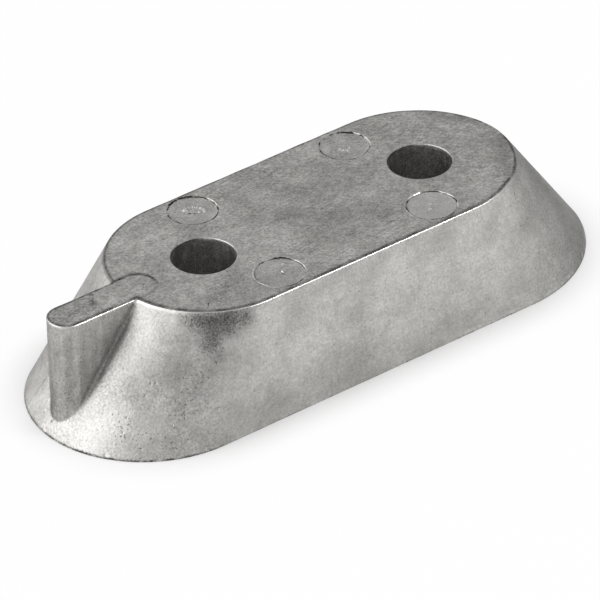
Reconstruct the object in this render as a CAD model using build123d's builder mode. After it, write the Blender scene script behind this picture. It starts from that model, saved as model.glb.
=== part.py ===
"""Bolt-on sacrificial anode: one die-cast block with two bolt bores and a rib on one sloping end.

Millimetres. The origin is the middle of the broad underside, +Z points to the bored top face,
and the rib stands on the -X end.
"""

import os
from math import cos, radians, sin, sqrt

from build123d import *

# Block: a broad base, a narrower top, and a ruled wall between the two outlines, above a narrow
# upright land where the flash was trimmed off
HEIGHT = 23.8
FOOT_LAND = 0.3
BASE_LENGTH = 120.8
BASE_WIDTH = 46.0
TOP_LENGTH = 86.0
TOP_WIDTH = 38.2
TOP_SHIFT = 0.9

# Plain end: the nose runs this far beyond a half circle, and its tip arc spans twice the tip angle
BASE_NOSE = 3.3
TOP_NOSE = 1.2
TIP_ANGLE = 20.0

# Rib: its tip stops short of the base's edge, and its flat top runs in over the block's top
RIB_WIDTH = 7.4
RIB_TIP_INSET = 2.0
RIB_RUN_IN = 6.4
RIB_DRAFT = 0.5

# Witness line of the rib's die insert, a shallow groove in the top
WITNESS_WIDTH = 0.5
WITNESS_DEPTH = 0.15

# Bolt bores on the centre line
BORE_DIAMETER = 12.0
BORE_SPACING = 50.0

# Ejector-pin marks, sunk into the top: their spacing along the block, and the margin left at its sides
PIN_MARK_DIAMETER = 9.6
PIN_MARK_DEPTH = 0.2
PIN_MARK_SPACING = 35.0
PIN_MARK_MARGIN = 1.1

# Edges
RIB_ROOT_RADIUS = 0.8
TOP_EDGE_RADIUS = 0.5
BORE_EDGE_BREAK = 0.25

base_left = -BASE_LENGTH / 2
top_left = TOP_SHIFT - TOP_LENGTH / 2
rib_tip = base_left + RIB_TIP_INSET
rib_inner_end = top_left + RIB_RUN_IN
rib_length = rib_inner_end - rib_tip
rib_middle = (rib_inner_end + rib_tip) / 2
rib_half = RIB_WIDTH / 2
top_half = TOP_WIDTH / 2
rib_corner = top_left + top_half - sqrt(top_half**2 - rib_half**2)
witness_start = rib_corner + TOP_EDGE_RADIUS
pin_mark_spread = TOP_WIDTH - 2 * PIN_MARK_MARGIN - PIN_MARK_DIAMETER


def draw_outline(length, width, nose, middle):
    """Draw a closed plan outline: a half-circle end at -X, straight sides and a three-arc nose at +X."""
    half = width / 2
    left = middle - length / 2
    right = middle + length / 2
    side_end = right - half - nose
    lean = radians(TIP_ANGLE)
    radius_gap = nose / (cos(lean) + sin(lean) - 1)
    tip_radius = half + nose - radius_gap * cos(lean)
    join_x = right - tip_radius + tip_radius * cos(lean)
    join_y = tip_radius * sin(lean)
    front_side = Line((left + half, -half), (side_end, -half))
    front_flank = TangentArc(front_side @ 1, (join_x, -join_y), tangent=front_side % 1)
    tip = TangentArc(front_flank @ 1, (join_x, join_y), tangent=front_flank % 1)
    back_flank = TangentArc(tip @ 1, (side_end, half), tangent=tip % 1)
    back_side = Line(back_flank @ 1, (left + half, half))
    TangentArc(back_side @ 1, front_side @ 0, tangent=back_side % 1)


with BuildPart() as anode:
    # Foot land, and the sloping block on it
    with BuildSketch(Plane.XY.offset(FOOT_LAND)) as base_plan:
        with BuildLine():
            draw_outline(BASE_LENGTH, BASE_WIDTH, BASE_NOSE, 0)
        make_face()
    with BuildSketch(Plane.XY.offset(HEIGHT)):
        with BuildLine():
            draw_outline(TOP_LENGTH, TOP_WIDTH, TOP_NOSE, TOP_SHIFT)
        make_face()
    loft(ruled=True)
    extrude(base_plan.sketch, amount=-FOOT_LAND)

    # Rib, drafted so that it thickens a little towards its foot, and rounded into the sloping end
    with BuildSketch(Plane.XY.offset(HEIGHT)):
        with Locations((rib_middle, 0)):
            SlotOverall(rib_length, RIB_WIDTH)
    extrude(amount=-HEIGHT, taper=-RIB_DRAFT)
    rib_foot = anode.edges(Select.LAST).filter_by(GeomType.BSPLINE)
    fillet(rib_foot, RIB_ROOT_RADIUS)

    # Softened edge round the whole top, rib included
    fillet(anode.faces().sort_by(Axis.Z)[-1].edges(), TOP_EDGE_RADIUS)

    # Witness line left on the top by the die insert that formed the rib
    with BuildSketch(Plane.XY.offset(HEIGHT)):
        with BuildLine():
            back_line = Line((witness_start, rib_half), (rib_inner_end - rib_half, rib_half))
            turn = TangentArc(back_line @ 1, (rib_inner_end - rib_half, -rib_half), tangent=back_line % 1)
            Line(turn @ 1, (witness_start, -rib_half))
        trace(line_width=WITNESS_WIDTH)
    extrude(amount=-WITNESS_DEPTH, mode=Mode.SUBTRACT)

    # Bolt bores, right through, with their rims broken
    with Locations((TOP_SHIFT, 0, HEIGHT)):
        with GridLocations(BORE_SPACING, 0, 2, 1):
            Hole(BORE_DIAMETER / 2, depth=HEIGHT)
    bore_rims = anode.edges(Select.LAST).filter_by(GeomType.CIRCLE)
    chamfer(bore_rims, BORE_EDGE_BREAK)

    # Ejector-pin marks
    with Locations((TOP_SHIFT, 0, HEIGHT)):
        with GridLocations(PIN_MARK_SPACING, pin_mark_spread, 2, 2):
            Hole(PIN_MARK_DIAMETER / 2, depth=PIN_MARK_DEPTH)

anode.part.label = "anode_casting"
os.makedirs("parts", exist_ok=True)
export_step(anode.part, "parts/anode_casting.step")
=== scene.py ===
"""Sacrificial anode: a worn die-cast zinc block with two bolt bores and a rib, on a pale studio floor.

Sizes are millimetres in the part's own frame. The casting is modelled at one unit to the millimetre,
because the fill operator's own tolerance is too coarse for metres, and turns to metres at the end.
"""

import logging
import math
from collections.abc import Callable, Sequence
from dataclasses import dataclass, fields
from enum import Enum

import bpy
import numpy as np
from mathutils import Matrix, Vector, noise

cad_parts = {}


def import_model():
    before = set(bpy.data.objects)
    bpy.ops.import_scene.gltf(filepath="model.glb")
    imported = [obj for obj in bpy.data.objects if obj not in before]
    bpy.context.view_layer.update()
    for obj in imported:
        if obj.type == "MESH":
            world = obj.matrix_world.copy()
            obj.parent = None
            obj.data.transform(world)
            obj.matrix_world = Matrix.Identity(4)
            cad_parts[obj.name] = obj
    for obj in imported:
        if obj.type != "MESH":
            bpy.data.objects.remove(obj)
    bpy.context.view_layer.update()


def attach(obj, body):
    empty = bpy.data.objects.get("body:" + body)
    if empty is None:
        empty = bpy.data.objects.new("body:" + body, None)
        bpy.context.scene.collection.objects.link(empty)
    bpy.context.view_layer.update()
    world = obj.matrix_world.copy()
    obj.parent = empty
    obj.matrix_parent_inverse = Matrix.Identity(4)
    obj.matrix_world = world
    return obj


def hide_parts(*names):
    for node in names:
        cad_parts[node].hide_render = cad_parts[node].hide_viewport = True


MM = 0.001
LOG = logging.getLogger("anode")

Place = tuple[float, float, float]
Span = tuple[float, float]
Sockets = dict[str, bpy.types.NodeSocket]
Inputs = dict[str | int, object] | Sequence[object]


def linear_colour(code: str) -> tuple[float, float, float, float]:
    """Turn an sRGB hex colour to linear.

    Args:
        code: The colour as six hex digits.

    Returns:
        Red, green, blue and alpha, linear.
    """
    shares = [int(code[start : start + 2], 16) / 255 for start in (0, 2, 4)]
    bent = [c / 12.92 if c <= 0.04045 else ((c + 0.055) / 1.055) ** 2.4 for c in shares]
    return (bent[0], bent[1], bent[2], 1.0)


def add_node(
    tree: bpy.types.NodeTree, kind: str, inputs: Inputs = (), **settings: object
) -> bpy.types.NodeOutputs:
    """Add a node with its settings, fixed values and links.

    Args:
        tree: The tree that takes the node.
        kind: The node's type, without the prefix that all these nodes share.
        inputs: The socket that feeds each input or its fixed value, in order or by name or number.
        settings: Properties of the node itself.

    Returns:
        The new node's outputs.
    """
    node = tree.nodes.new("ShaderNode" + kind)
    for name, value in settings.items():
        setattr(node, name, value)
    numbered = inputs if isinstance(inputs, dict) else dict(enumerate(inputs))
    for name, value in numbered.items():
        if isinstance(value, bpy.types.NodeSocket):
            tree.links.new(value, node.inputs[name])
        else:
            node.inputs[name].default_value = value
    return node.outputs


def smooth_step(values: np.ndarray, low: float | np.ndarray, high: float) -> np.ndarray:
    """Rise softly from 0 at low to 1 at high, or fall where high is the smaller."""
    share = np.clip((values - low) / (high - low), 0.0, 1.0)
    return share * share * (3.0 - 2.0 * share)


def hump(values: np.ndarray, middle: float, spread: float) -> np.ndarray:
    """Give a smooth bell that is 1 at the middle and fades over the spread."""
    return np.exp(-(((values - middle) / spread) ** 2))


def grain(points: np.ndarray, feature: float, seed: float = 0.0) -> np.ndarray:
    """Read smooth noise at points.

    Args:
        points: One point a row, in millimetres.
        feature: Size of the noise's lumps, in millimetres.
        seed: Shift that makes one noise differ from the next.

    Returns:
        One value for each point, from about -1 to 1.
    """
    shifted = points / feature + seed
    return np.array([noise.noise(Vector(row)) for row in shifted])


def line_distance(points: np.ndarray, start: Place, end: Place) -> np.ndarray:
    """Measure how far points lie from a straight line between two places.

    Args:
        points: One point a row.
        start: The line's first end.
        end: The line's other end, or the same place for a single point.

    Returns:
        One distance for each point.
    """
    first = np.array(start)
    run = np.array(end) - first
    span = max(float(run @ run), 1e-9)
    share = np.clip((points - first) @ run / span, 0.0, 1.0)
    return np.linalg.norm(points - first - share[:, None] * run, axis=1)


class Workbench:
    """The few mesh steps that every piece is made with."""

    weld_gap: float = 0.002

    @staticmethod
    def clear() -> None:
        """Deselect every object."""
        bpy.ops.object.select_all(action="DESELECT")

    @staticmethod
    def take(piece: bpy.types.Object) -> None:
        """Select one object alone and make it active."""
        Workbench.clear()
        piece.select_set(True)
        bpy.context.view_layer.objects.active = piece

    @staticmethod
    def read(piece: bpy.types.Object) -> np.ndarray:
        """Read a mesh's points, one a row."""
        flat = np.empty(3 * len(piece.data.vertices))
        piece.data.vertices.foreach_get("co", flat)
        return flat.reshape(-1, 3)

    @staticmethod
    def write(piece: bpy.types.Object, points: np.ndarray) -> None:
        """Write a mesh's points."""
        piece.data.vertices.foreach_set("co", points.ravel())
        piece.data.update()

    @staticmethod
    def ring(points: np.ndarray) -> bpy.types.Object:
        """Add a circle and lay it along a closed line.

        Args:
            points: The line's points in order, in millimetres.

        Returns:
            An object of one closed loop of edges.
        """
        Workbench.clear()
        bpy.ops.mesh.primitive_circle_add(vertices=len(points), radius=1.0, fill_type="NOTHING")
        piece = bpy.context.object
        Workbench.write(piece, points)
        return piece

    @staticmethod
    def sheet(points: np.ndarray) -> bpy.types.Object:
        """Add a grid and wrap it round as a closed band.

        Args:
            points: Rows of points, each row once round, in millimetres.

        Returns:
            The band, with its seam closed.
        """
        rows, columns = points.shape[:2]
        Workbench.clear()
        bpy.ops.mesh.primitive_grid_add(x_subdivisions=columns, y_subdivisions=rows - 1, size=1.0)
        piece = bpy.context.object
        wrapped = np.concatenate([points, points[:, :1]], axis=1)
        Workbench.write(piece, wrapped.reshape(-1, 3))
        Workbench.weld(piece)
        return piece

    @staticmethod
    def join(pieces: Sequence[bpy.types.Object]) -> bpy.types.Object:
        """Join pieces into the first of them.

        Args:
            pieces: The objects to join.

        Returns:
            The joined object.
        """
        Workbench.take(pieces[0])
        for piece in pieces[1:]:
            piece.select_set(True)
        bpy.ops.object.join()
        return pieces[0]

    @staticmethod
    def weld(piece: bpy.types.Object) -> None:
        """Merge points that lie on each other and turn every face outwards."""
        Workbench.take(piece)
        bpy.ops.object.mode_set(mode="EDIT")
        bpy.ops.mesh.select_all(action="SELECT")
        bpy.ops.mesh.remove_doubles(threshold=Workbench.weld_gap)
        bpy.ops.mesh.normals_make_consistent(inside=False)
        bpy.ops.object.mode_set(mode="OBJECT")

    @staticmethod
    def cover(rings: Sequence[bpy.types.Object]) -> bpy.types.Object:
        """Fill the flat area between an outer ring and the rings inside it.

        Args:
            rings: The outer ring, then the rings of its openings.

        Returns:
            The filled plate.
        """
        plate = Workbench.join(rings)
        bpy.ops.object.mode_set(mode="EDIT")
        bpy.ops.mesh.select_all(action="SELECT")
        bpy.ops.mesh.fill(use_beauty=True)
        bpy.ops.object.mode_set(mode="OBJECT")
        return plate

    @staticmethod
    def triangulate(piece: bpy.types.Object) -> None:
        """Split every face into well-shaped triangles, so that no thin ones fold over each other."""
        Workbench.take(piece)
        bpy.ops.object.mode_set(mode="EDIT")
        bpy.ops.mesh.select_all(action="SELECT")
        bpy.ops.mesh.quads_convert_to_tris(quad_method="BEAUTY", ngon_method="BEAUTY")
        bpy.ops.object.mode_set(mode="OBJECT")

    @staticmethod
    def refine(piece: bpy.types.Object, target: Callable[[np.ndarray], np.ndarray], passes: int) -> None:
        """Split edges until they are as short as the detail there needs.

        Args:
            piece: The object whose mesh is split.
            target: Gives the longest edge wanted at each of some points, in millimetres.
            passes: The most times that an edge is halved.
        """
        Workbench.take(piece)
        bpy.context.tool_settings.mesh_select_mode = (False, True, False)
        for _ in range(passes):
            points = Workbench.read(piece)
            ends = np.empty(2 * len(piece.data.edges), dtype=np.int64)
            piece.data.edges.foreach_get("vertices", ends)
            first, last = points[ends[0::2]], points[ends[1::2]]
            wanted = np.linalg.norm(last - first, axis=1) > target((first + last) / 2)
            if not wanted.any():
                break
            bpy.ops.object.mode_set(mode="EDIT")
            bpy.ops.mesh.select_all(action="DESELECT")
            bpy.ops.object.mode_set(mode="OBJECT")
            piece.data.edges.foreach_set("select", wanted)
            bpy.ops.object.mode_set(mode="EDIT")
            bpy.ops.mesh.subdivide(number_cuts=1, ngon=False)
            bpy.ops.object.mode_set(mode="OBJECT")


@dataclass(frozen=True)
class Unevenness:
    """Smooth noise of one strength, with lumps of one size in millimetres and a seed of its own."""

    strength: float
    feature: float
    seed: float

    def at(self, points: np.ndarray) -> np.ndarray:
        """Read the noise at points."""
        return self.strength * grain(points, self.feature, self.seed)


@dataclass(frozen=True)
class PlanOutline:
    """Plan outline of the block at one level: a half-circle end at -X and a three-arc nose at +X."""

    length: float
    width: float
    nose: float
    middle: float


@dataclass(frozen=True)
class Section:
    """Radii and centres of the plan outline at some levels, each an array laid out as the levels are.

    The round end's radius is half the width. The flank's centre lies past the centre line by its drop.
    """

    half: np.ndarray
    round_centre: np.ndarray
    side_end: np.ndarray
    flank_radius: np.ndarray
    flank_drop: np.ndarray
    tip_centre: np.ndarray
    tip_radius: np.ndarray


@dataclass(frozen=True)
class ColumnCounts:
    """How many columns of faces run up each stretch of half the outline, from the rib to the nose."""

    rib_tip: int = 18
    rib_side: int = 64
    rib_root: int = 16
    round_end: int = 44
    side: int = 60
    flank: int = 38
    nose_tip: int = 14


@dataclass
class Skin:
    """The casting's outside: foot land, sloping wall, rib and softened top edge, as one wrapped sheet.

    Near the rib the columns follow rays from a place inside the block, and the rows stand closest
    where the rib's tip meets the slope.
    """

    top_level: float
    height: float = 23.8
    foot_land: float = 0.3
    base: PlanOutline = PlanOutline(120.8, 46.0, 3.3, 0.0)
    top: PlanOutline = PlanOutline(86.0, 38.2, 1.2, 0.9)
    tip_angle: float = 20.0
    rib_half: float = 3.7
    rib_tip: float = -58.4
    rib_draft: float = 0.5
    root_radius: float = 0.7
    wall_lean: float = 0.79
    ray_start: float = -30.0
    ray_border: float = 31.0
    ray_reach: float = 16.0
    ray_halvings: int = 32
    side_stop: float = -41.0
    edge_radius: float = 0.36
    coarse_wear: Unevenness = Unevenness(0.55, 5.0, 3.1)
    fine_wear: Unevenness = Unevenness(0.2, 1.1, 8.7)
    wear_limits: Span = (0.5, 1.35)
    edge_rows: int = 7
    foot_row: float = 0.08
    wall_rows: int = 64
    row_marks: tuple[float, ...] = (0.0, 0.05, 0.45, 1.0)
    level_marks: tuple[float, ...] = (0.0, 0.055, 0.26, 1.0)
    counts: ColumnCounts = ColumnCounts()

    def half_count(self) -> int:
        """Count the columns from the rib's tip to the nose's tip."""
        c = self.counts
        return c.rib_tip + c.rib_side + c.rib_root + c.round_end + c.side + c.flank + c.nose_tip

    def section(self, z: np.ndarray) -> Section:
        """Work out the block's plan outline at some levels.

        Args:
            z: The levels.

        Returns:
            The outline's radii and centres.
        """
        share = np.clip((z - self.foot_land) / (self.height - self.foot_land), 0.0, 1.0)
        length = self.base.length + share * (self.top.length - self.base.length)
        half = (self.base.width + share * (self.top.width - self.base.width)) / 2
        nose = self.base.nose + share * (self.top.nose - self.base.nose)
        middle = self.base.middle + share * (self.top.middle - self.base.middle)
        right = middle + length / 2
        lean = math.radians(self.tip_angle)
        gap = nose / (math.cos(lean) + math.sin(lean) - 1)
        tip_radius = half + nose - gap * math.cos(lean)
        return Section(
            half=half,
            round_centre=middle - length / 2 + half,
            side_end=right - half - nose,
            flank_radius=tip_radius + gap,
            flank_drop=gap * math.sin(lean),
            tip_centre=right - tip_radius,
            tip_radius=tip_radius,
        )

    def rib_width(self, z: np.ndarray) -> np.ndarray:
        """Give half the rib's width at some levels."""
        return self.rib_half + (self.top_level - z) * math.tan(math.radians(self.rib_draft))

    def block_distance(self, points: np.ndarray) -> np.ndarray:
        """Measure in plan how far points lie outside the block's outline at their own levels.

        Args:
            points: Points of the casting, one a row.

        Returns:
            Distances, negative inside.
        """
        x, v, z = points[:, 0], np.abs(points[:, 1]), points[:, 2]
        s = self.section(z)
        round_end = np.hypot(np.minimum(x - s.round_centre, 0.0), v) - s.half
        flank = np.hypot(x - s.side_end, v + s.flank_drop) - s.flank_radius
        tip = np.hypot(x - s.tip_centre, v) - s.tip_radius
        in_tip = v < math.tan(math.radians(self.tip_angle)) * (x - s.tip_centre)
        return np.where(x > s.side_end, np.where(in_tip, tip, flank), round_end)

    def rib_distance(self, points: np.ndarray) -> np.ndarray:
        """Measure in plan how far points lie outside the rib, negative inside."""
        run = np.minimum(points[:, 0] - self.rib_tip - self.rib_half, 0.0)
        return np.hypot(run, points[:, 1]) - self.rib_width(points[:, 2])

    def border_distance(self, points: np.ndarray) -> np.ndarray:
        """Measure in plan how far points lie outside the top's border, negative inside."""
        raised = np.column_stack([points[:, :2], np.full(len(points), self.top_level)])
        return np.minimum(self.block_distance(raised), self.rib_distance(raised))

    def rib_rays(self, z: np.ndarray) -> tuple[np.ndarray, np.ndarray, np.ndarray]:
        """Aim a ray from the block's inside through each column of the rib and its root.

        Args:
            z: Levels, a row for each level and a column for each ray.

        Returns:
            The rays' two plan directions, and how far along them the rib's own surface lies.
        """
        c = self.counts
        half = self.rib_width(z)
        turn = np.linspace(0.0, math.pi / 2, c.rib_tip, endpoint=False)
        tip_centre = self.rib_tip + self.rib_half
        first = math.atan2(self.rib_half, self.ray_start - self.side_stop)
        lean = np.linspace(first, math.radians(self.ray_border), c.rib_root)
        x = np.empty_like(z)
        v = np.empty_like(z)
        tip, side = slice(0, c.rib_tip), slice(c.rib_tip, c.rib_tip + c.rib_side)
        root = slice(c.rib_tip + c.rib_side, c.rib_tip + c.rib_side + c.rib_root)
        x[:, tip] = tip_centre - half[:, tip] * np.cos(turn)
        v[:, tip] = half[:, tip] * np.sin(turn)
        x[:, side] = np.linspace(tip_centre, self.side_stop, c.rib_side, endpoint=False)
        v[:, side] = half[:, side]
        x[:, root] = self.ray_start - half[:, root] / np.tan(lean)
        v[:, root] = half[:, root]
        reach = np.hypot(x - self.ray_start, v)
        return (x - self.ray_start) / reach, v / reach, reach

    def blend_rib(self, z: np.ndarray) -> tuple[np.ndarray, np.ndarray]:
        """Follow the rays of the rib out to the rounded join of rib and wall.

        The blend is as wide as a fillet of the root's radius is at the angle where the two meet.

        Args:
            z: Levels, a row for each level and a column for each ray.

        Returns:
            The points' X, and their distance from the centre line.
        """
        s = self.section(z)
        dir_x, dir_v, reach = self.rib_rays(z)
        offset = s.round_centre - self.ray_start
        along = dir_x * offset
        near = np.maximum(along + np.sqrt(along**2 - offset**2 + s.half**2), reach)
        far = near + self.ray_reach
        for _ in range(self.ray_halvings):
            middle = (near + far) / 2
            x = self.ray_start + middle * dir_x
            v = middle * dir_v
            wall_run = x - s.round_centre
            rib_run = np.minimum(x - self.rib_tip - self.rib_half, 0.0)
            wall_reach, rib_reach = np.hypot(wall_run, v), np.hypot(rib_run, v)
            facing = (wall_run * rib_run + v * v) / (wall_reach * rib_reach)
            width = self.root_radius * (1.0 - self.wall_lean * facing)
            from_wall, from_rib = wall_reach - s.half, rib_reach - self.rib_width(z)
            mix = np.maximum(width - np.abs(from_wall - from_rib), 0.0) / width
            outside = np.minimum(from_wall, from_rib) - mix**2 * width / 4 > 0.0
            far = np.where(outside, middle, far)
            near = np.where(outside, near, middle)
        return self.ray_start + near * dir_x, near * dir_v

    def half_ring(self, z: np.ndarray) -> tuple[np.ndarray, np.ndarray]:
        """Follow half the outline, from the rib's tip to the nose's tip.

        Args:
            z: Levels, a row for each level and a column for each column of faces.

        Returns:
            The points' X, and their distance from the centre line.
        """
        c = self.counts
        s = self.section(z)
        x = np.empty_like(z)
        v = np.empty_like(z)

        stop = c.rib_tip + c.rib_side + c.rib_root
        rib = slice(0, stop)
        x[:, rib], v[:, rib] = self.blend_rib(z[:, rib])

        round_end = slice(stop, stop + c.round_end)
        stop += c.round_end
        border = math.radians(self.ray_border)
        radius = s.half[:, round_end]
        offset = s.round_centre[:, round_end] - self.ray_start
        along = -math.cos(border) * offset
        reach = along + np.sqrt(along**2 - offset**2 + radius**2)
        first = np.arctan2(reach * math.sin(border), offset + reach * math.cos(border))
        angle = first + (math.pi / 2 - first) * np.arange(1, c.round_end + 1) / c.round_end
        x[:, round_end] = s.round_centre[:, round_end] - radius * np.cos(angle)
        v[:, round_end] = radius * np.sin(angle)

        side = slice(stop, stop + c.side)
        stop += c.side
        share = np.arange(1, c.side + 1) / c.side
        x[:, side] = s.round_centre[:, side] + (s.side_end - s.round_centre)[:, side] * share
        v[:, side] = s.half[:, side]

        flank = slice(stop, stop + c.flank)
        stop += c.flank
        lean = math.radians(self.tip_angle)
        angle = np.linspace(math.pi / 2, lean, c.flank + 1)[1:]
        x[:, flank] = s.side_end[:, flank] + s.flank_radius[:, flank] * np.cos(angle)
        v[:, flank] = s.flank_radius[:, flank] * np.sin(angle) - s.flank_drop[:, flank]

        tip = slice(stop, stop + c.nose_tip)
        angle = np.linspace(lean, 0.0, c.nose_tip + 1)[1:]
        x[:, tip] = s.tip_centre[:, tip] + s.tip_radius[:, tip] * np.cos(angle)
        v[:, tip] = s.tip_radius[:, tip] * np.sin(angle)
        return x, v

    def ring(self, z: np.ndarray) -> np.ndarray:
        """Follow the whole outline, first along the front and then back along the other side.

        Args:
            z: Levels, a row for each level and a column for each column of faces.

        Returns:
            Rows of points.
        """
        count = self.half_count()
        front_x, front_v = self.half_ring(z[:, :count])
        mirrored = np.concatenate([z[:, :1], z[:, : count - 2 : -1]], axis=1)
        back_x, back_v = self.half_ring(mirrored)
        x = np.concatenate([front_x, back_x[:, -2:0:-1]], axis=1)
        y = np.concatenate([-front_v, back_v[:, -2:0:-1]], axis=1)
        return np.stack([x, y, z], axis=2)

    def rows(self) -> np.ndarray:
        """Lay out the sheet's rows, from the underside's edge up to the flat of the top.

        Returns:
            Rows of points, each row once round.
        """
        columns = 2 * self.half_count() - 2
        level = np.full((1, columns), self.top_level)
        edge = self.ring(level)[0]
        below = self.ring(level - 1.0)[0]
        run = np.roll(edge, -1, axis=0) - np.roll(edge, 1, axis=0)
        inward = np.stack([-run[:, 1], run[:, 0]], axis=1)
        inward /= np.linalg.norm(inward, axis=1)[:, None]
        slope = np.arctan(np.maximum(-np.sum((below - edge)[:, :2] * inward, axis=1), 0.0))

        worn = 1.0 + self.coarse_wear.at(edge) + self.fine_wear.at(edge)
        radius = self.edge_radius * np.clip(worn, *self.wear_limits)
        flat_start = radius * (1.0 - np.sin(slope)) / np.cos(slope)
        shoulder = self.top_level - radius * (1.0 - np.sin(slope))

        underside = np.zeros((1, columns))
        foot = np.concatenate([underside, underside + self.foot_row, underside + self.foot_land])
        even = np.linspace(0.0, 1.0, self.wall_rows + 1)[1:]
        share = np.interp(even, self.row_marks, self.level_marks)[:, None]
        wall = self.foot_land + share * (shoulder - self.foot_land)[None, :]
        turn = slope + (math.pi / 2 - slope) * np.linspace(0.0, 1.0, self.edge_rows)[1:, None]
        inset = flat_start - radius * np.cos(turn)
        rounded = np.empty((self.edge_rows - 1, columns, 3))
        rounded[:, :, :2] = edge[None, :, :2] + inward[None, :, :] * inset[:, :, None]
        rounded[:, :, 2] = self.top_level + radius * np.sin(turn) - radius
        return np.concatenate([self.ring(np.concatenate([foot, wall])), rounded])


@dataclass
class RoundFeature:
    """A round feature of the top, swept ring by ring from its outermost ring."""

    x: float
    y: float
    level: float
    segments: int = 128

    def outer_ring(self, radius: float, level: float) -> bpy.types.Object:
        """Add a ring about the feature's axis."""
        turn = np.arange(self.segments) / self.segments * 2 * math.pi
        round_x = self.x + radius * np.cos(turn)
        round_y = self.y + radius * np.sin(turn)
        return Workbench.ring(np.stack([round_x, round_y, np.full(self.segments, level)], axis=1))

    def away(self, points: np.ndarray) -> np.ndarray:
        """Measure how far points lie from the feature's axis."""
        return np.hypot(points[:, 0] - self.x, points[:, 1] - self.y)

    def sweep(self, profile: Sequence[tuple[float, float]]) -> bpy.types.Object:
        """Extrude a ring through a profile.

        Args:
            profile: Radius and level of each ring, from the first on.

        Returns:
            The swept surface, open at both ends, with its last ring selected in edit mode.
        """
        piece = self.outer_ring(*profile[0])
        Workbench.take(piece)
        bpy.ops.object.mode_set(mode="EDIT")
        bpy.ops.mesh.select_all(action="SELECT")
        axis = (self.x, self.y, 0.0)
        for (radius, level), (next_radius, next_level) in zip(profile, profile[1:]):
            drop = (0.0, 0.0, next_level - level)
            bpy.ops.mesh.extrude_edges_move(TRANSFORM_OT_translate={"value": drop})
            scale = next_radius / radius
            bpy.ops.transform.resize(value=(scale, scale, 1.0), center_override=axis)
        return piece


@dataclass
class Bore(RoundFeature):
    """A bolt bore right through the block, with a broken rim at both ends."""

    radius: float = 6.0
    rim_break: float = 0.16
    margin: float = 0.45
    rim_row: float = 0.16
    wall_rows: int = 16
    # Where the light comes from, which sets the side of the rim's painted highlight
    light_from: Span = (0.93, 0.37)
    highlight_span: Span = (0.62, 0.98)

    def opening(self) -> float:
        """Give the radius of the ring that the flat faces are cut back to."""
        return self.radius + self.rim_break + self.margin

    def highlight_side(self, points: np.ndarray) -> np.ndarray:
        """Give how far points lie on the side where the rim catches the light."""
        light_x, light_y = self.light_from
        towards = (points[:, 0] - self.x) * light_x + (points[:, 1] - self.y) * light_y
        return smooth_step(towards / self.radius, *self.highlight_span)

    def build(self) -> bpy.types.Object:
        """Sweep the bore from the top's flat down to the underside's.

        Returns:
            The bore's surface.
        """
        rim = self.radius + self.rim_break
        levels = np.linspace(self.level - self.rim_break, self.rim_break, self.wall_rows)
        profile = [(self.opening(), self.level), (rim + self.rim_row, self.level), (rim, self.level)]
        profile.append((self.radius + self.rim_break / 3, self.level - self.rim_break / 3))
        profile += [(self.radius, level) for level in levels]
        profile += [(rim, 0.0), (self.opening(), 0.0)]
        piece = self.sweep(profile)
        bpy.ops.object.mode_set(mode="OBJECT")
        return piece


@dataclass(frozen=True)
class BurrArc:
    """A stretch of torn edge round a pin mark: its direction and half spread in degrees, and its height.

    A height below nothing is a place where the edge broke out.
    """

    towards: float
    spread: float
    height: float
    half_width: float = 0.11


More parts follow.
